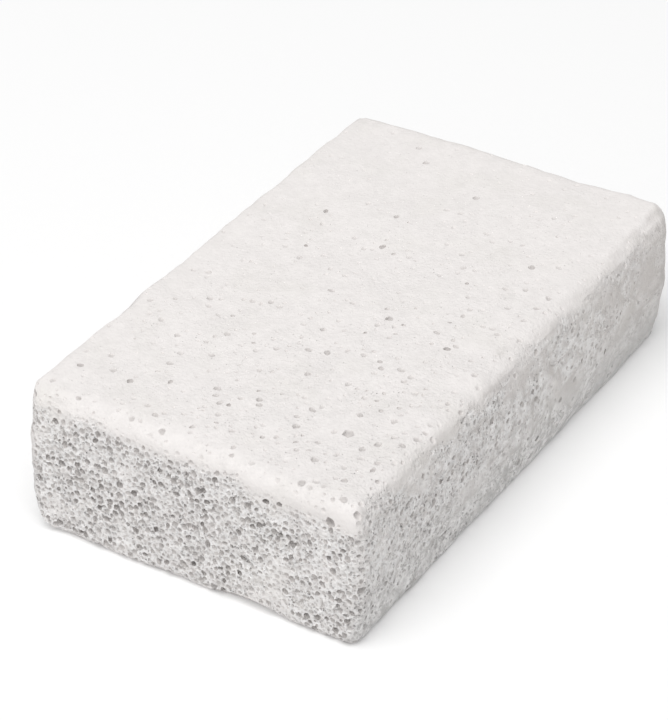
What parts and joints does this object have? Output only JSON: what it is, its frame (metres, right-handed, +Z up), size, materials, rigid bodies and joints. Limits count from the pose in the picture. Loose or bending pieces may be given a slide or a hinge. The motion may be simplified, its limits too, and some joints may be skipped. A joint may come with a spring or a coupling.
{
  "type": "pumice stone",
  "caption": "Rectangular block of white pumice, sawn square with soft worn edges and open pores all over, for rubbing skin smooth.",
  "frame": {"origin": "under the middle of the block, on the surface that its largest face rests on", "axes": "+X across the block's width, +Y along its length, +Z up through its thickness; the worn-off long edge is at the bottom on the -X side"},
  "size_m": [0.0612, 0.1014, 0.0252],
  "materials": {
    "white_pumice": "dry, matt, open-pored white pumice, as sawn and worn, with no polish or coating"
  },
  "bodies": {
    "root": {"pumice_stone": "white_pumice"}
  },
  "joints": []
}
